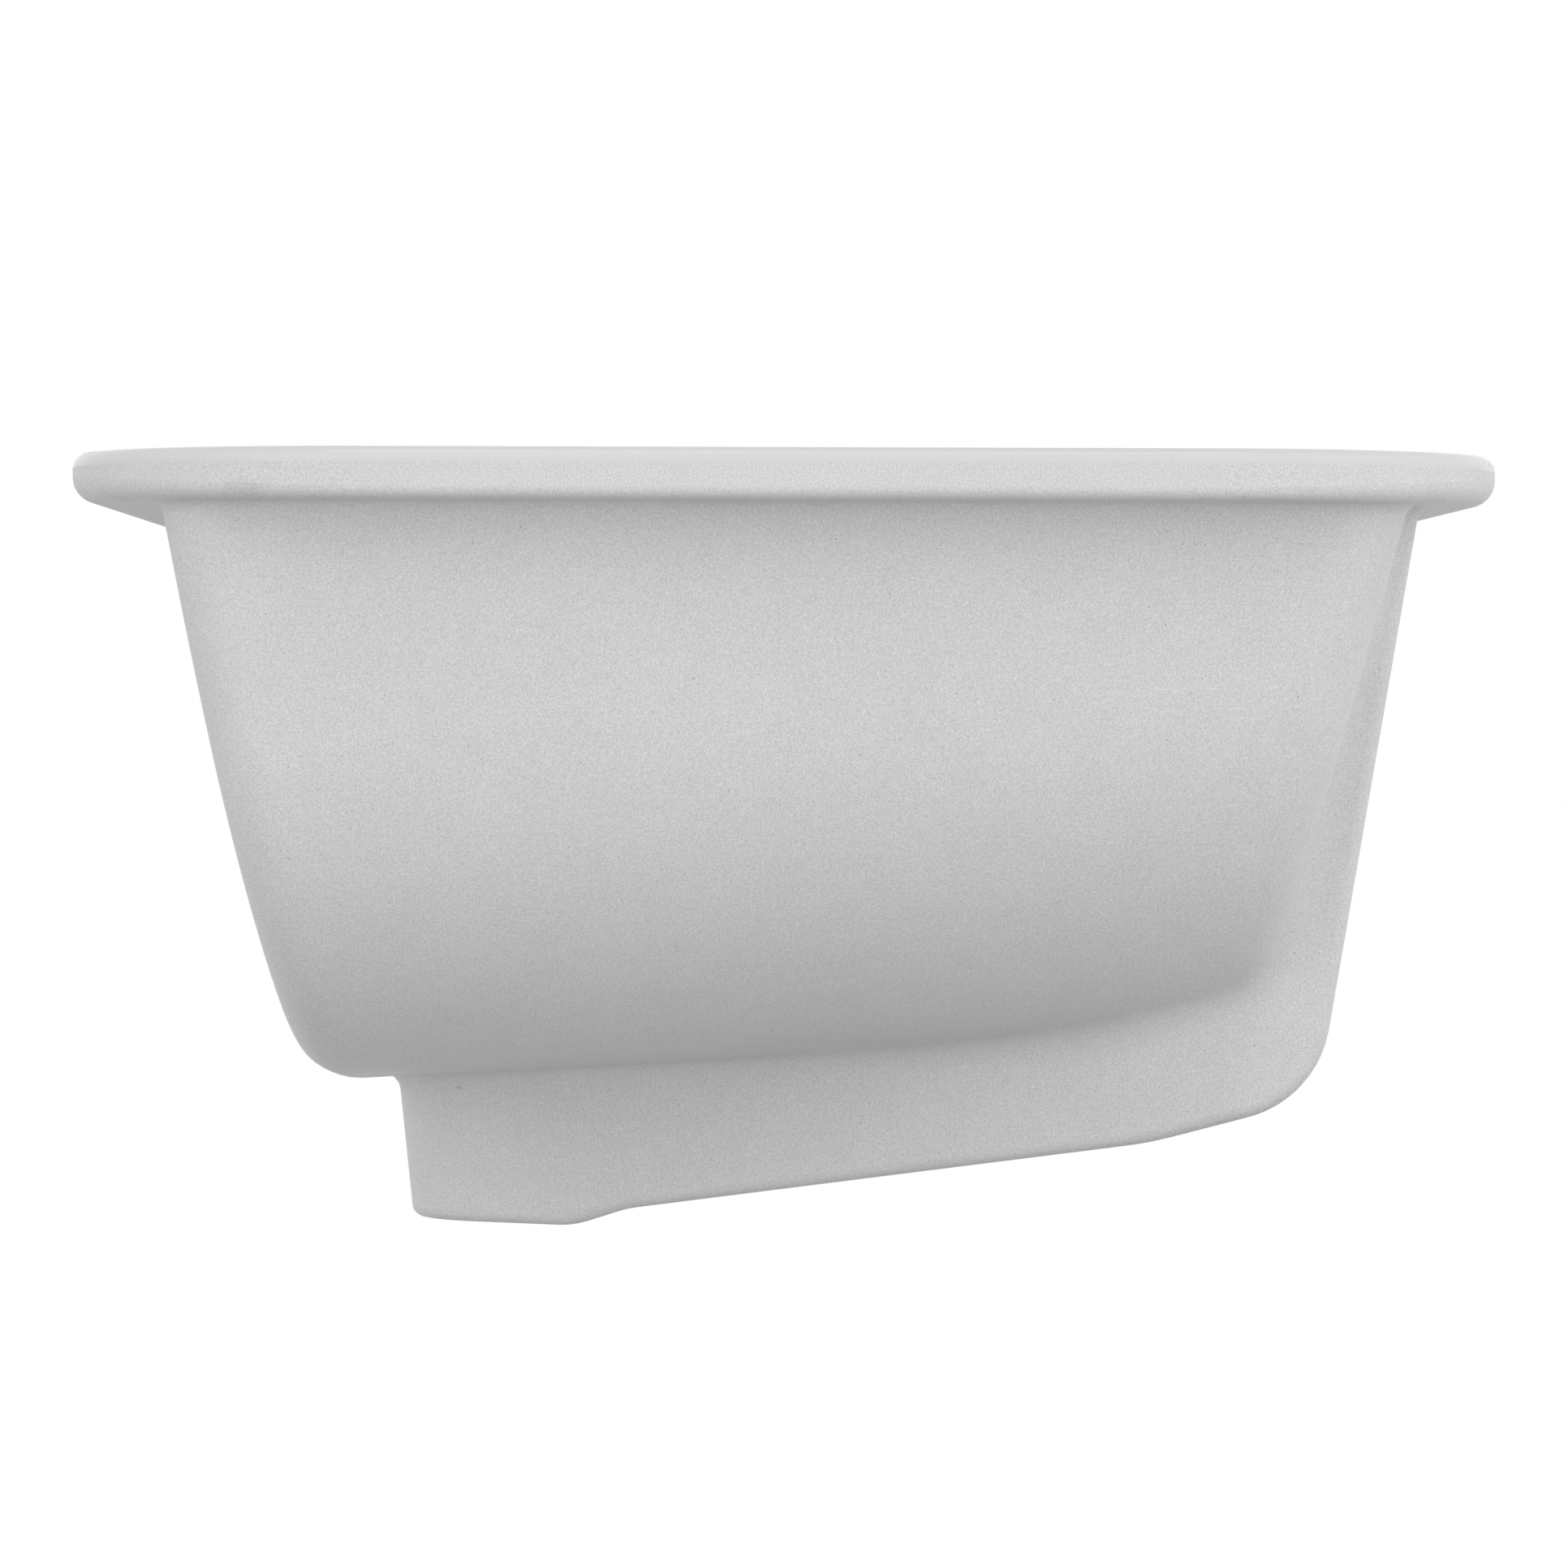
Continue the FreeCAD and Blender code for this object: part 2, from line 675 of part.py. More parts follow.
def stopper_cap():
    # Shallow dome with a threaded boss for the stem and a groove for its seal
    edge_top = cap_under + cap_edge
    dome_radius = (cap_radius ** 2 + cap_rise ** 2) / (2 * cap_rise)
    dome = Part.makeSphere(dome_radius, Vec(0, drain_y, edge_top + cap_rise - dome_radius))
    body = disc(cap_radius, cap_under, edge_top + cap_rise).common(dome)
    rims = [e for e in body.Edges if at_height(e, edge_top)]
    body = body.makeFillet(cap_round, rims)
    body = body.fuse(disc(cap_boss_radius, cap_under - cap_boss_drop, cap_under))
    groove = ring(stopper_seal_outer, stopper_seal_inner, cap_under, cap_under + stopper_seal_sunk)
    hole = disc(stem_radius + thread_fit, cap_under - cap_boss_drop, stem_top)
    return body.cut([groove, hole]).removeSplitter()


def stopper_seal():
    top = cap_under + stopper_seal_sunk
    return ring(stopper_seal_outer, stopper_seal_inner, top - stopper_seal_thickness, top)


pieces = [basin, overflow_ring, waste_body, flange_seal, lower_gasket, slip_washer, ring_nut,
          cartridge_barrel, cartridge_end_plug, cartridge_spring, plunger, latch_rotor,
          stopper_cap, stopper_seal]

os.makedirs("parts", exist_ok=True)
for piece in pieces:
    shape = solid_of(piece())
    print(piece.__name__, shape.ShapeType, shape.isValid(), round(shape.Volume))
    shape.exportStep("parts/" + piece.__name__ + ".step")
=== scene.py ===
import json
import math
import bpy
from mathutils import Matrix, Vector


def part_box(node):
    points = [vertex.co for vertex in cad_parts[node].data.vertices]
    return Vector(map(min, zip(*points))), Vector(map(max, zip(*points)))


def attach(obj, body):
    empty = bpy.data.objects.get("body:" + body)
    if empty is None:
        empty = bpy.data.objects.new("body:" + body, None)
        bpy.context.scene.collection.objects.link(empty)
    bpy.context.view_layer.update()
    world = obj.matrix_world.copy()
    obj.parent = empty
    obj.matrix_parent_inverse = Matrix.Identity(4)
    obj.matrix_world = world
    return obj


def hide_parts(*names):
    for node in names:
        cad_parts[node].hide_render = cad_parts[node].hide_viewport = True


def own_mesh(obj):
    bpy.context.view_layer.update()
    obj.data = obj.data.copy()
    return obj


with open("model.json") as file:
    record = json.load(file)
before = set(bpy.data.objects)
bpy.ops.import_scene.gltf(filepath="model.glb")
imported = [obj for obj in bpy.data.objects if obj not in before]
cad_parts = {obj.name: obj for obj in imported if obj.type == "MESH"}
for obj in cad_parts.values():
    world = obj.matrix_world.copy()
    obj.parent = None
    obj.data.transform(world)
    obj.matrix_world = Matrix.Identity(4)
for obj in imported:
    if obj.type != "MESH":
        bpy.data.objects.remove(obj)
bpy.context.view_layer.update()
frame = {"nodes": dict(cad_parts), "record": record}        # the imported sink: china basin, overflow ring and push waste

nodes = frame["nodes"]
mm = 0.001


def hexColour(code):     # sRGB hex to the linear colour that shaders take
    channels = [int(code[i:i + 2], 16) / 255 for i in (1, 3, 5)]
    linear = [c / 12.92 if c <= 0.04045 else ((c + 0.055) / 1.055) ** 2.4 for c in channels]
    return (*linear, 1.0)


def addNode(tree, kind, inputs=None, **settings):     # a socket given as an input is linked, the rest are set
    node = tree.nodes.new(kind)
    for name, value in settings.items():
        setattr(node, name, value)
    for key, value in (inputs or {}).items():
        if isinstance(value, bpy.types.NodeSocket):
            tree.links.new(value, node.inputs[key])
        else:
            node.inputs[key].default_value = value
    return node


def startMaterial(name):
    material = bpy.data.materials.new(name)
    material.use_nodes = True
    material.node_tree.nodes.clear()
    return material, material.node_tree


# Vitreous china, slip cast and fired. The bowl and the rim's top carry a thick gloss glaze that pools smooth.
# The outside has a thin dry glaze that shows the body: matt, finely speckled, with pinholes and handling marks.
china = {
    "gloss": "#d9d9d8", "dry": "#d9d9d9",
    "glossFrom": 0.03, "glossFull": 0.13,          # how far up a face must look to hold the gloss glaze
    "glossRough": 0.09, "dryRough": 0.5, "ior": 1.5,
    "grain": 0.5 * mm, "grainDepth": 0.4,
    "cloud": 14 * mm, "cloudDepth": 0.03,
    "bank": 70 * mm, "bankDepth": 0.03,
    "pinholeGap": 3.2 * mm, "pinhole": 0.26 * mm, "pinholeShare": 0.5, "pinholeDark": 0.8,
    "fleckGap": 4.1 * mm, "fleck": 0.24 * mm, "fleckShare": 0.4, "fleckLight": 0.25,
    "markEdge": 1.5, "markFull": 0.6,              # where a mark begins and where it is whole, in half sizes
    "ripple": 5 * mm, "rippleHeight": 0.012 * mm, "toothHeight": 0.03 * mm,
}

# Marks on the near end and the rim: middle and half sizes in mm, turn about X, and how much lighter or darker
chinaMarks = [
    {"at": (-254, 141, -11), "half": (14, 9, 3.5), "turn": 0, "tone": -0.09},        # smudge by the back corner
    {"at": (-229, 22, -37), "half": (12, 6, 2.6), "turn": -25, "tone": 0.035},       # rubbed patch, middle
    {"at": (-230, -41, -32), "half": (12, 2, 2.5), "turn": 30, "tone": 0.035},       # rubbed patch, front
    {"at": (-222, -14, -66), "half": (12, 26, 3), "turn": 0, "tone": -0.01},         # faint drag line
    {"at": (-110, -15, -163), "half": (24, 22, 0.6), "turn": 10, "tone": 0.06},      # lighter line along the crease
]
for along in (9, 4, -7, -9, -24, -30, -37, -41):                                     # scuffs along the rim's face
    chinaMarks.append({"at": (-260, along, -6.5), "half": (8, 0.7, 2.4), "turn": -38, "tone": 0.04})


def makeChina():
    material, tree = startMaterial("vitreousChina")
    spot = addNode(tree, "ShaderNodeTexCoord")
    place = spot.outputs["Object"]
    facing = addNode(tree, "ShaderNodeSeparateXYZ", {0: spot.outputs["Normal"]})
    gloss = addNode(tree, "ShaderNodeMapRange", {
        "Value": facing.outputs["Z"], "From Min": china["glossFrom"], "From Max": china["glossFull"],
    }, interpolation_type="SMOOTHSTEP").outputs["Result"]
    tone = None
    noises = {}
    for layer in ("grain", "cloud", "bank"):          # speckle, clouding and slow drift of the dry glaze
        noises[layer] = addNode(tree, "ShaderNodeTexNoise", {
            "Vector": place, "Scale": 1 / china[layer], "Detail": 2.0, "Roughness": 0.6})
        swing = addNode(tree, "ShaderNodeMath", {0: noises[layer].outputs["Fac"], 1: 0.5},
                        operation="SUBTRACT")
        tone = addNode(tree, "ShaderNodeMath", {
            0: swing.outputs[0], 1: 2 * china[layer + "Depth"], 2: 1.0 if tone is None else tone,
        }, operation="MULTIPLY_ADD").outputs[0]
    for dot, change in (("pinhole", -china["pinholeDark"]), ("fleck", china["fleckLight"])):
        cells = addNode(tree, "ShaderNodeTexVoronoi", {"Vector": place, "Scale": 1 / china[dot + "Gap"]})
        size = china[dot] / china[dot + "Gap"]
        core = addNode(tree, "ShaderNodeMapRange", {
            "Value": cells.outputs["Distance"], "From Min": size, "From Max": size / 3,
        }, interpolation_type="SMOOTHSTEP").outputs["Result"]
        pick = addNode(tree, "ShaderNodeSeparateColor", {0: cells.outputs["Color"]})
        kept = addNode(tree, "ShaderNodeMath", {0: pick.outputs[0], 1: china[dot + "Share"]},
                       operation="LESS_THAN").outputs[0]
        depth = addNode(tree, "ShaderNodeMath", {0: pick.outputs[1], 1: change}, operation="MULTIPLY").outputs[0]
        shown = addNode(tree, "ShaderNodeMath", {0: core, 1: kept}, operation="MULTIPLY").outputs[0]
        tone = addNode(tree, "ShaderNodeMath", {0: shown, 1: depth, 2: tone},
                       operation="MULTIPLY_ADD").outputs[0]
    ragged = noises["cloud"].outputs["Fac"]
    for mark in chinaMarks:
        offset = addNode(tree, "ShaderNodeVectorMath", {
            0: place, 1: [c * mm for c in mark["at"]]}, operation="SUBTRACT").outputs[0]
        turned = addNode(tree, "ShaderNodeVectorRotate", {
            "Vector": offset, "Angle": math.radians(mark["turn"])}, rotation_type="X_AXIS").outputs[0]
        shrunk = addNode(tree, "ShaderNodeVectorMath", {
            0: turned, 1: [h * mm for h in mark["half"]]}, operation="DIVIDE").outputs[0]
        reach = addNode(tree, "ShaderNodeVectorMath", {0: shrunk}, operation="LENGTH").outputs["Value"]
        worn = addNode(tree, "ShaderNodeMath", {0: ragged, 1: reach}, operation="ADD").outputs[0]
        cover = addNode(tree, "ShaderNodeMapRange", {
            "Value": worn, "From Min": china["markEdge"], "From Max": china["markFull"],
        }, interpolation_type="SMOOTHSTEP").outputs["Result"]
        tone = addNode(tree, "ShaderNodeMath", {0: cover, 1: mark["tone"], 2: tone},
                       operation="MULTIPLY_ADD").outputs[0]
    dry = addNode(tree, "ShaderNodeHueSaturation", {"Color": hexColour(china["dry"]), "Value": tone})
    colour = addNode(tree, "ShaderNodeMix", {
        0: gloss, 6: dry.outputs["Color"], 7: hexColour(china["gloss"])}, data_type="RGBA")
    rough = addNode(tree, "ShaderNodeMapRange", {
        "Value": gloss, "To Min": china["dryRough"], "To Max": china["glossRough"]})
    tooth = addNode(tree, "ShaderNodeBump", {
        "Height": noises["grain"].outputs["Fac"], "Distance": china["toothHeight"], "Strength": 1.0})
    ripple = addNode(tree, "ShaderNodeTexNoise", {"Vector": place, "Scale": 1 / china["ripple"], "Detail": 0.0})
    pooled = addNode(tree, "ShaderNodeBump", {
        "Height": ripple.outputs["Fac"], "Distance": china["rippleHeight"], "Strength": 1.0})
    relief = addNode(tree, "ShaderNodeMix", {
        0: gloss, 4: tooth.outputs["Normal"], 5: pooled.outputs["Normal"]}, data_type="VECTOR")
    shader = addNode(tree, "ShaderNodeBsdfPrincipled", {
        "Base Color": colour.outputs[2], "Roughness": rough.outputs["Result"], "IOR": china["ior"],
        "Normal": relief.outputs[1]})
    addNode(tree, "ShaderNodeOutputMaterial", {"Surface": shader.outputs[0]})
    return material


# Chrome plate on brass, polished: a cool mirror with faint wiping marks and dried water spots
chrome = {
    "colour": "#c3c5c7", "rough": 0.06, "spotRough": 0.2,
    "spotGap": 5 * mm, "spot": 1.1 * mm, "spotCore": 0.6, "wipe": 9 * mm, "wipeRough": 0.06, "wipeTint": 0.05,
}


def makeChrome():
    material, tree = startMaterial("polishedChromePlate")
    place = addNode(tree, "ShaderNodeTexCoord").outputs["Object"]
    cells = addNode(tree, "ShaderNodeTexVoronoi", {"Vector": place, "Scale": 1 / chrome["spotGap"]})
    edge = chrome["spot"] / chrome["spotGap"]
    spot = addNode(tree, "ShaderNodeMapRange", {
        "Value": cells.outputs["Distance"], "From Min": edge, "From Max": edge * chrome["spotCore"],
        "To Min": chrome["rough"], "To Max": chrome["spotRough"]}, interpolation_type="SMOOTHSTEP")
    wipe = addNode(tree, "ShaderNodeTexNoise", {"Vector": place, "Scale": 1 / chrome["wipe"], "Detail": 3.0})
    rough = addNode(tree, "ShaderNodeMath", {
        0: wipe.outputs["Fac"], 1: chrome["wipeRough"], 2: spot.outputs["Result"]}, operation="MULTIPLY_ADD")
    tint = addNode(tree, "ShaderNodeMapRange", {
        "Value": wipe.outputs["Fac"], "To Min": 1 - chrome["wipeTint"], "To Max": 1 + chrome["wipeTint"]})
    colour = addNode(tree, "ShaderNodeHueSaturation", {
        "Color": hexColour(chrome["colour"]), "Value": tint.outputs["Result"]})
    shader = addNode(tree, "ShaderNodeBsdfPrincipled", {
        "Base Color": colour.outputs["Color"], "Metallic": 1.0, "Roughness": rough.outputs[0]})
    addNode(tree, "ShaderNodeOutputMaterial", {"Surface": shader.outputs[0]})
    return material


# Bare brass, turned on a lathe: warm yellow with fine rings round the drain's axis and slight tarnish
brass = {
    "bright": "#d0a95f", "tarnish": "#9a7638", "rough": 0.28, "tarnishRough": 0.45,
    "ring": 0.6 * mm, "ringHeight": 0.02 * mm, "ringWander": 0.4, "patch": 4 * mm,
    "dullFrom": 0.4, "dullFull": 0.75,
}


waveUnit = 0.314         # scale at which the wave texture draws one ring per metre


def makeBrass(axis):
    material, tree = startMaterial("turnedBrass")
    spot = addNode(tree, "ShaderNodeTexCoord").outputs["Object"]
    place = addNode(tree, "ShaderNodeVectorMath", {0: spot, 1: axis}, operation="SUBTRACT").outputs[0]
    rings = addNode(tree, "ShaderNodeTexWave", {
        "Vector": place, "Scale": waveUnit / brass["ring"], "Distortion": brass["ringWander"], "Detail": 1.0},
        wave_type="RINGS", rings_direction="Z")
    patch = addNode(tree, "ShaderNodeTexNoise", {"Vector": place, "Scale": 1 / brass["patch"], "Detail": 4.0})
    dull = addNode(tree, "ShaderNodeMapRange", {
        "Value": patch.outputs["Fac"], "From Min": brass["dullFrom"], "From Max": brass["dullFull"],
    }).outputs["Result"]
    colour = addNode(tree, "ShaderNodeMix", {
        0: dull, 6: hexColour(brass["bright"]), 7: hexColour(brass["tarnish"])}, data_type="RGBA")
    rough = addNode(tree, "ShaderNodeMapRange", {
        "Value": dull, "To Min": brass["rough"], "To Max": brass["tarnishRough"]})
    relief = addNode(tree, "ShaderNodeBump", {
        "Height": rings.outputs["Fac"], "Distance": brass["ringHeight"], "Strength": 1.0})
    shader = addNode(tree, "ShaderNodeBsdfPrincipled", {
        "Base Color": colour.outputs[2], "Metallic": 1.0, "Roughness": rough.outputs["Result"],
        "Normal": relief.outputs["Normal"]})
    addNode(tree, "ShaderNodeOutputMaterial", {"Surface": shader.outputs[0]})
    return material


# The waste's moulded pieces and its wire spring: one recipe, each with its own colours, grain and sheen
mouldings = {
    "black_rubber": {       # EPDM rubber, moulded: deep grey, dusty matt
        "name": "mouldedRubber", "light": "#2a2a2b", "dark": "#161617", "metal": 0.0, "rough": 0.72,
        "roughSwing": 0.12, "ior": 1.52, "grain": 0.7 * mm, "height": 0.02 * mm},
    "nylon_washer": {       # nylon, moulded: milky off-white, waxy
        "name": "mouldedNylon", "light": "#e8e4d8", "dark": "#dcd6c6", "metal": 0.0, "rough": 0.42,
        "roughSwing": 0.1, "ior": 1.53, "grain": 2.5 * mm, "height": 0.01 * mm},
    "white_acetal": {       # acetal, moulded: cool white with a satin skin
        "name": "mouldedAcetal", "light": "#eeede9", "dark": "#e2e0da", "metal": 0.0, "rough": 0.32,
        "roughSwing": 0.08, "ior": 1.48, "grain": 3 * mm, "height": 0.008 * mm},
    "spring_steel": {       # stainless spring wire, drawn: grey with fine dull streaks
        "name": "drawnSpringWire", "light": "#c2c1be", "dark": "#9b9a97", "metal": 1.0, "rough": 0.24,
        "roughSwing": 0.15, "ior": 1.5, "grain": 0.4 * mm, "height": 0.006 * mm},
}


def makeMoulding(look):
    material, tree = startMaterial(look["name"])
    place = addNode(tree, "ShaderNodeTexCoord").outputs["Object"]
    grain = addNode(tree, "ShaderNodeTexNoise", {"Vector": place, "Scale": 1 / look["grain"], "Detail": 3.0})
    shade = grain.outputs["Fac"]
    colour = addNode(tree, "ShaderNodeMix", {
        0: shade, 6: hexColour(look["dark"]), 7: hexColour(look["light"])}, data_type="RGBA")
    rough = addNode(tree, "ShaderNodeMapRange", {
        "Value": shade, "To Min": look["rough"] - look["roughSwing"],
        "To Max": look["rough"] + look["roughSwing"]})
    relief = addNode(tree, "ShaderNodeBump", {"Height": shade, "Distance": look["height"], "Strength": 1.0})
    shader = addNode(tree, "ShaderNodeBsdfPrincipled", {
        "Base Color": colour.outputs[2], "Metallic": look["metal"], "Roughness": rough.outputs["Result"],
        "IOR": look["ior"], "Normal": relief.outputs["Normal"]})
    addNode(tree, "ShaderNodeOutputMaterial", {"Surface": shader.outputs[0]})
    return material


sleeveLow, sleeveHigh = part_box("waste_body")
drainAxis = ((sleeveLow + sleeveHigh) / 2).to_3d()
drainAxis.z = 0.0
finishes = {"vitreous_china": makeChina(), "chromed_brass": makeChrome(), "plain_brass": makeBrass(drainAxis)}
for slotName, look in mouldings.items():
    finishes[slotName] = makeMoulding(look)
for part in frame["record"]["subparts"]:
    nodes[part["node"]].material_slots[0].material = finishes[part["material_slot"]]
print("finishes on", len(nodes), "pieces:", ", ".join(sorted(m.name for m in finishes.values())))


def startNodes(name, sockets):     # Geometry Nodes tree with named inputs; gives the tree and its input node
    tree = bpy.data.node_groups.new(name, "GeometryNodeTree")
    tree.interface.new_socket(name="Geometry", in_out="OUTPUT", socket_type="NodeSocketGeometry")
    for label, kind in sockets.items():
        tree.interface.new_socket(name=label, in_out="INPUT", socket_type="NodeSocket" + kind)
    return tree, addNode(tree, "NodeGroupInput").outputs


def endNodes(tree, geometry, finish):
    solid = addNode(tree, "GeometryNodeRealizeInstances", {0: geometry})
    painted = addNode(tree, "GeometryNodeSetMaterial", {"Geometry": solid.outputs[0], "Material": finish})
    addNode(tree, "NodeGroupOutput", {0: painted.outputs[0]})


def bakeNodes(name, tree, values, body):     # runs the tree once and keeps a plain mesh on a body
    piece = bpy.data.objects.new(name, bpy.data.meshes.new(name + "Seed"))
    bpy.context.scene.collection.objects.link(piece)
    modifier = piece.modifiers.new(name, "NODES")
    modifier.node_group = tree
    for item in tree.interface.items_tree:
        if item.in_out == "INPUT":
            modifier[item.identifier] = values[item.name]
    graph = bpy.context.evaluated_depsgraph_get()
    mesh = bpy.data.meshes.new_from_object(piece.evaluated_get(graph))
    piece.modifiers.remove(modifier)
    piece.data = mesh
    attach(piece, body)
    print(name, "has", len(mesh.polygons), "faces")
    return piece


# Thread that shows on the sleeve below its nut
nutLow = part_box("ring_nut")[0]
sleeveThread = {
    "radius": 20.9 * mm, "pitch": 1.0 * mm, "ridge": 0.4 * mm, "rest": 0.5 * mm, "steps": 96, "corners": 4}


def makeThread():
    tree, given = startNodes("sleeveThreadNodes", {
        "Radius": "Float", "Turns": "Float", "Height": "Float", "Ridge": "Float", "Start": "Vector",
        "Finish": "Material"})
    helix = addNode(tree, "GeometryNodeCurveSpiral", {
        "Resolution": sleeveThread["steps"], "Rotations": given["Turns"], "Start Radius": given["Radius"],
        "End Radius": given["Radius"], "Height": given["Height"]})
    section = addNode(tree, "GeometryNodeCurvePrimitiveCircle", {
        "Resolution": sleeveThread["corners"], "Radius": given["Ridge"]})
    ridge = addNode(tree, "GeometryNodeCurveToMesh", {
        "Curve": helix.outputs[0], "Profile Curve": section.outputs[0], "Fill Caps": True})
    moved = addNode(tree, "GeometryNodeTransform", {
        "Geometry": ridge.outputs[0], "Translation": given["Start"]})
    endNodes(tree, moved.outputs[0], given["Finish"])
    start = drainAxis.copy()
    start.z = sleeveLow.z + sleeveThread["rest"]
    height = nutLow.z - sleeveThread["rest"] - start.z
    return bakeNodes("sleeve_thread", tree, {
        "Radius": sleeveThread["radius"], "Turns": height / sleeveThread["pitch"], "Height": height,
        "Ridge": sleeveThread["ridge"], "Start": start, "Finish": finishes["chromed_brass"],
    }, "sink")


makeThread()


def makeSpring():
    coil = bpy.data.objects.new("spring_coil", nodes["cartridge_spring"].data.copy())
    coil.data.materials.clear()
    coil.data.materials.append(finishes["spring_steel"])
    bpy.context.scene.collection.objects.link(coil)
    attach(coil, "sink")
    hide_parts("cartridge_spring")
    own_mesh(coil)


makeSpring()


# Crumbs of glaze that fused to the housing's side in the kiln
glazeCrumbs = {
    "low": (-190, -162, -150), "high": (-164, -128, -88), "density": 42000.0, "seed": 5,
    "smallest": 0.12 * mm, "largest": 0.42 * mm, "form": (1.0, 1.3, 0.5), "side": (-1.0, 0.0, 0.0), "lean": 0.9,
}


def makeCrumbs():
    tree, given = startNodes("glazeCrumbNodes", {
        "Surface": "Object", "Low": "Vector", "High": "Vector", "Side": "Vector", "Lean": "Float",
        "Density": "Float", "Smallest": "Float", "Largest": "Float", "Seed": "Int", "Finish": "Material"})
    surface = addNode(tree, "GeometryNodeObjectInfo", {"Object": given["Surface"]})
    place = addNode(tree, "GeometryNodeInputPosition").outputs[0]
    above = addNode(tree, "FunctionNodeCompare", {"A": place, "B": given["Low"]},
                    data_type="VECTOR", mode="ELEMENT", operation="GREATER_THAN").outputs[0]
    below = addNode(tree, "FunctionNodeCompare", {"A": place, "B": given["High"]},
                    data_type="VECTOR", mode="ELEMENT", operation="LESS_THAN").outputs[0]
    facing = addNode(tree, "ShaderNodeVectorMath", {
        0: addNode(tree, "GeometryNodeInputNormal").outputs[0], 1: given["Side"]}, operation="DOT_PRODUCT")
    outward = addNode(tree, "FunctionNodeCompare", {0: facing.outputs["Value"], 1: given["Lean"]},
                      operation="GREATER_THAN").outputs[0]
    inBox = addNode(tree, "FunctionNodeBooleanMath", {0: above, 1: below}, operation="AND").outputs[0]
    chosen = addNode(tree, "FunctionNodeBooleanMath", {0: inBox, 1: outward}, operation="AND").outputs[0]
    points = addNode(tree, "GeometryNodeDistributePointsOnFaces", {
        "Mesh": surface.outputs["Geometry"], "Selection": chosen, "Density": given["Density"],
        "Seed": given["Seed"]})
    crumb = addNode(tree, "GeometryNodeMeshIcoSphere", {"Radius": 1.0, "Subdivisions": 2})
    size = addNode(tree, "FunctionNodeRandomValue", {
        2: given["Smallest"], 3: given["Largest"], "Seed": given["Seed"]}, data_type="FLOAT").outputs[1]
    flat = addNode(tree, "ShaderNodeVectorMath", {
        0: glazeCrumbs["form"], "Scale": size}, operation="SCALE").outputs[0]
    placed = addNode(tree, "GeometryNodeInstanceOnPoints", {
        "Points": points.outputs["Points"], "Instance": crumb.outputs[0],
        "Rotation": points.outputs["Rotation"], "Scale": flat})
    endNodes(tree, placed.outputs[0], given["Finish"])
    box = {side: [c * mm for c in glazeCrumbs[side]] for side in ("low", "high")}
    return bakeNodes("glaze_crumbs", tree, {
        "Surface": nodes["basin"], "Low": box["low"], "High": box["high"], "Side": glazeCrumbs["side"],
        "Lean": glazeCrumbs["lean"], "Density": glazeCrumbs["density"], "Smallest": glazeCrumbs["smallest"],
        "Largest": glazeCrumbs["largest"], "Seed": glazeCrumbs["seed"], "Finish": finishes["vitreous_china"],
    }, "sink")


makeCrumbs()


# Studio: a white surround that lights the sink most from a little above its near end, a pale floor a counter's
# height below it that fades out into the surround, and one soft lamp overhead
studio = {
    "peak": 1.36, "nadir": 0.46, "zenith": 0.35,
    "levels": {-0.6: 0.54, -0.4: 0.76, -0.2: 1.06, 0.0: 1.3, 0.2: 1.36, 0.42: 1.32, 0.66: 1.08, 0.84: 0.62},
    "farWay": (0.92, 0.38, 0.0), "nearSide": -0.25, "farSide": 0.4, "farLevel": 0.52,
    "floorDrop": 0.82, "floorRadius": 1.8, "fadeFrom": 0.9, "floorShown": "#f4f4f4", "floorLift": 0.2,
    "floorGlow": "#a4a4a4", "floorCorners": 96, "white": "#ffffff",
    "lampAt": (-0.5, 0.0, 1.7), "lampSize": 0.9, "lampPower": 1.5,
}


def seenDirectly(tree):     # 1 for rays that show the background: the camera's, mirrors' and glass's
    path = addNode(tree, "ShaderNodeLightPath").outputs
    total = addNode(tree, "ShaderNodeMath", {0: path["Is Camera Ray"], 1: path["Is Glossy Ray"]}, operation="ADD")
    return addNode(tree, "ShaderNodeMath", {0: total.outputs[0], 1: path["Is Transmission Ray"]},
                   operation="ADD", use_clamp=True).outputs[0]


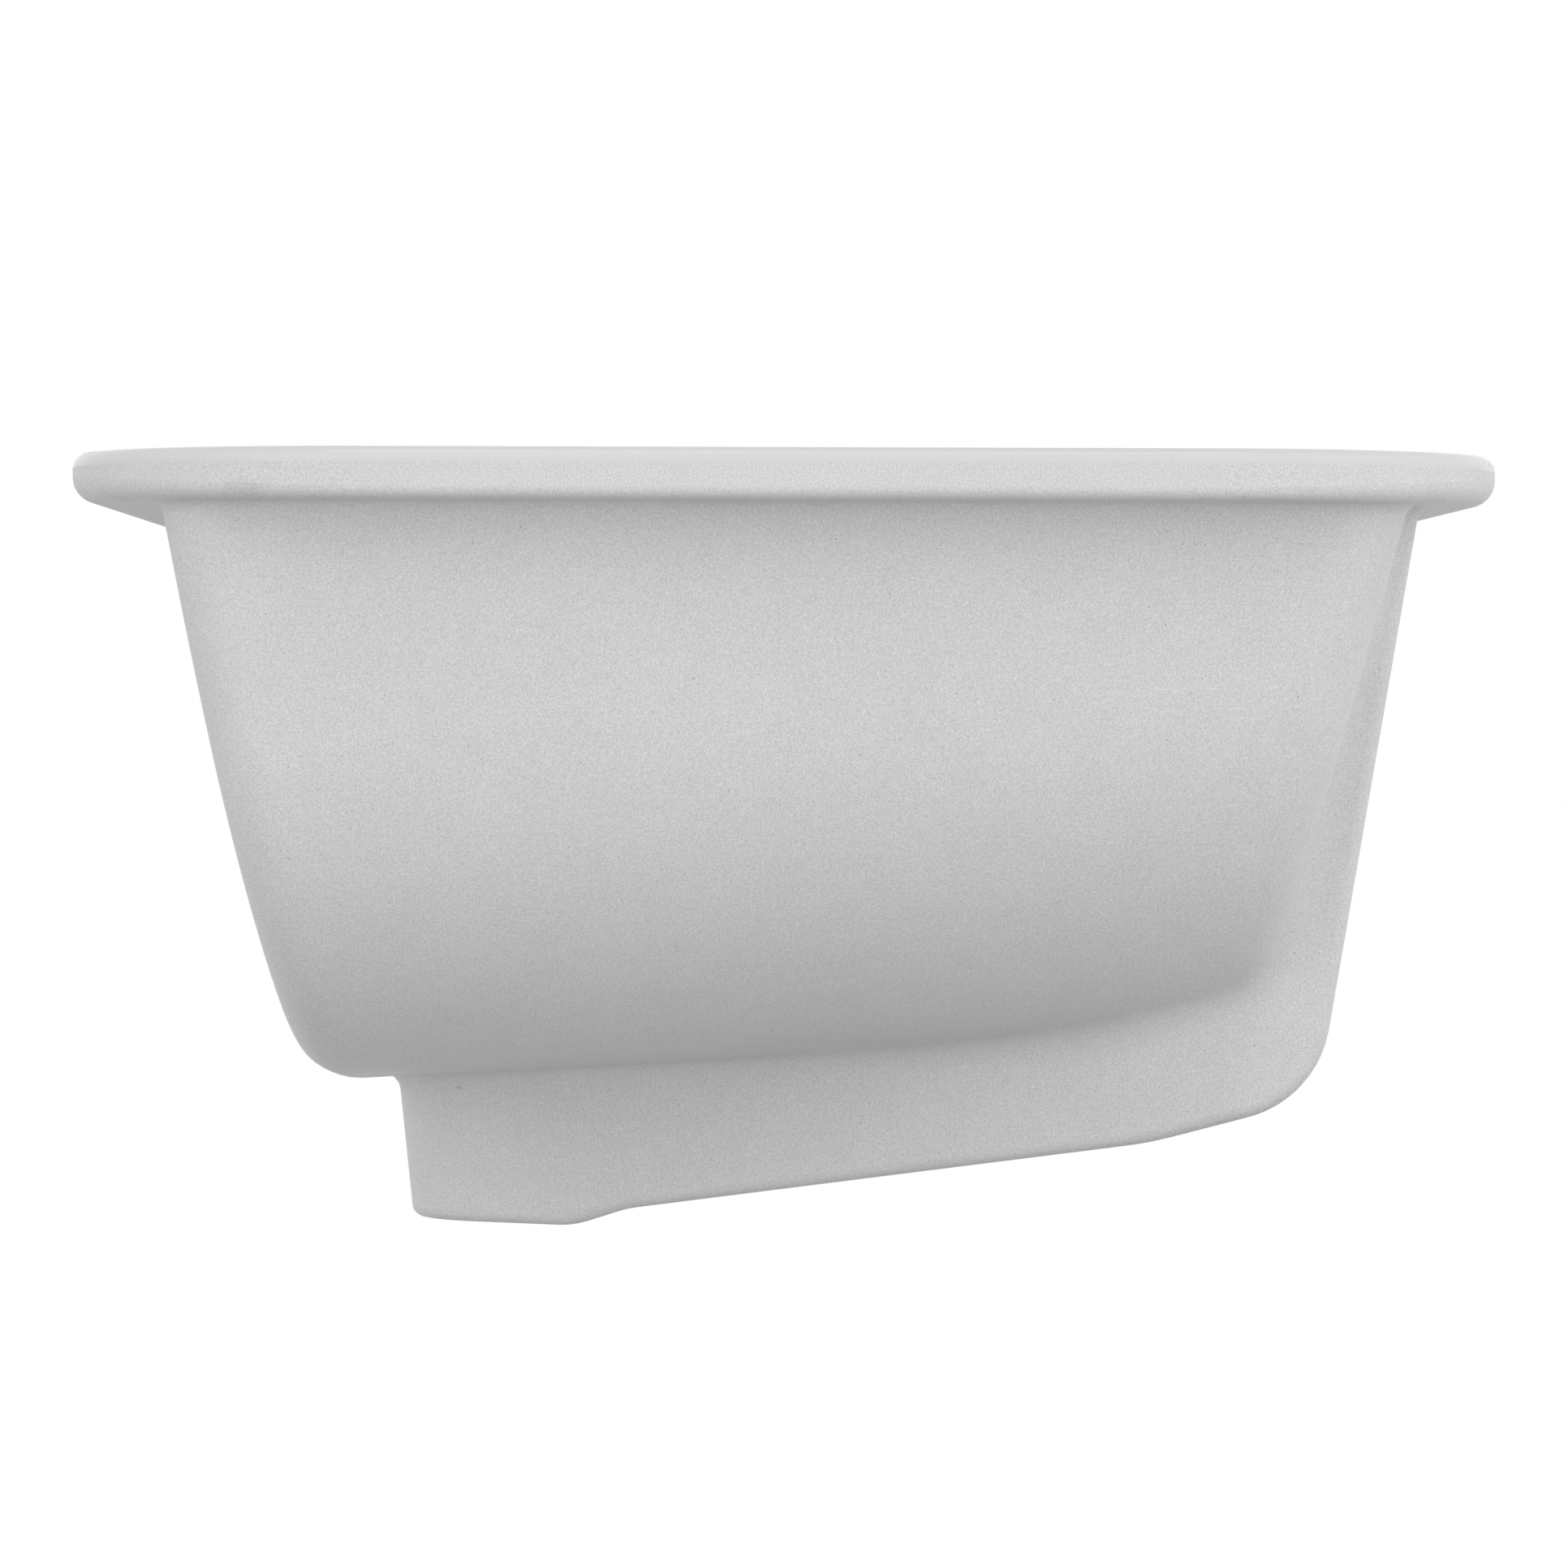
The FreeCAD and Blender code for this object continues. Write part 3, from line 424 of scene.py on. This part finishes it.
def makeWorld():
    world = bpy.data.worlds.new("softSurround")
    bpy.context.scene.world = world
    world.use_nodes = True
    tree = world.node_tree
    tree.nodes.clear()
    way = addNode(tree, "ShaderNodeTexCoord").outputs["Generated"]
    height = addNode(tree, "ShaderNodeSeparateXYZ", {0: way}).outputs["Z"]
    share = addNode(tree, "ShaderNodeMapRange", {
        "Value": height, "From Min": -1.0, "From Max": 1.0}).outputs["Result"]
    ramp = addNode(tree, "ShaderNodeValToRGB", {"Fac": share})
    stops = ramp.color_ramp.elements
    stops[0].color = [studio["nadir"] / studio["peak"]] * 3 + [1.0]
    stops[1].color = [studio["zenith"] / studio["peak"]] * 3 + [1.0]
    for rise, level in studio["levels"].items():      # by how steeply the light comes in
        stops.new((rise + 1) / 2).color = [level / studio["peak"]] * 3 + [1.0]
    away = addNode(tree, "ShaderNodeVectorMath", {0: way, 1: studio["farWay"]}, operation="DOT_PRODUCT")
    strength = addNode(tree, "ShaderNodeMapRange", {
        "Value": away.outputs["Value"], "From Min": studio["nearSide"], "From Max": studio["farSide"],
        "To Min": studio["peak"], "To Max": studio["peak"] * studio["farLevel"]}, interpolation_type="SMOOTHSTEP")
    glow = addNode(tree, "ShaderNodeBackground", {
        "Color": ramp.outputs["Color"], "Strength": strength.outputs["Result"]})
    white = addNode(tree, "ShaderNodeBackground", {"Color": hexColour(studio["white"]), "Strength": 1.0})
    both = addNode(tree, "ShaderNodeMixShader", {0: seenDirectly(tree), 1: glow.outputs[0], 2: white.outputs[0]})
    addNode(tree, "ShaderNodeOutputWorld", {"Surface": both.outputs[0]})


def makeFloor():
    material, tree = startMaterial("paleStudioFloor")
    direct = seenDirectly(tree)
    colour = addNode(tree, "ShaderNodeMix", {
        0: direct, 6: hexColour(studio["floorGlow"]), 7: hexColour(studio["floorShown"])}, data_type="RGBA")
    matt = addNode(tree, "ShaderNodeBsdfDiffuse", {"Color": colour.outputs[2]})
    lift = addNode(tree, "ShaderNodeMath", {0: direct, 1: studio["floorLift"]}, operation="MULTIPLY").outputs[0]
    pale = addNode(tree, "ShaderNodeEmission", {"Color": hexColour(studio["white"]), "Strength": lift})
    lit = addNode(tree, "ShaderNodeAddShader", {0: matt.outputs[0], 1: pale.outputs[0]})
    place = addNode(tree, "ShaderNodeTexCoord").outputs["Object"]
    away = addNode(tree, "ShaderNodeVectorMath", {0: place}, operation="LENGTH").outputs["Value"]
    fade = addNode(tree, "ShaderNodeMapRange", {
        "Value": away, "From Min": studio["fadeFrom"], "From Max": studio["floorRadius"]},
        interpolation_type="SMOOTHSTEP").outputs["Result"]
    under = addNode(tree, "ShaderNodeNewGeometry").outputs["Backfacing"]
    unseen = addNode(tree, "ShaderNodeMath", {0: fade, 1: under}, operation="MAXIMUM").outputs[0]
    clear = addNode(tree, "ShaderNodeBsdfTransparent")
    both = addNode(tree, "ShaderNodeMixShader", {0: unseen, 1: lit.outputs[0], 2: clear.outputs[0]})
    addNode(tree, "ShaderNodeOutputMaterial", {"Surface": both.outputs[0]})
    bpy.ops.mesh.primitive_circle_add(vertices=studio["floorCorners"], radius=studio["floorRadius"],
                                      fill_type="NGON", location=(0, 0, -studio["floorDrop"]))
    floor = bpy.context.object
    floor.name = "studio_floor"
    floor.data.materials.append(material)


def makeLamp():
    light = bpy.data.lights.new("softOverhead", "AREA")
    light.shape = "DISK"
    light.size = studio["lampSize"]
    light.energy = studio["lampPower"]
    lamp = bpy.data.objects.new("softOverhead", light)
    lamp.location = studio["lampAt"]
    bpy.context.scene.collection.objects.link(lamp)


makeWorld()
makeFloor()
makeLamp()
print("studio lit")


# Camera level with the bowl, off its end, with a long lens
shot = {
    "place": Vector((-2.260, 0.0238, -0.0654)), "heading": Vector((1.0, -0.01152, -0.01086)),
    "lens": 177.9, "sensor": 36.0, "roll": 0.0026,
}


def placeCamera():
    lens = bpy.data.cameras.new("endView")
    lens.lens = shot["lens"]
    lens.sensor_width = shot["sensor"]
    camera = bpy.data.objects.new("endView", lens)
    turn = shot["heading"].to_track_quat("-Z", "Y").to_matrix().to_4x4()
    camera.matrix_world = Matrix.Translation(shot["place"]) @ turn @ Matrix.Rotation(shot["roll"], 4, "Z")
    bpy.context.scene.collection.objects.link(camera)
    bpy.context.scene.camera = camera


placeCamera()
bpy.context.scene.view_settings.view_transform = "Standard"
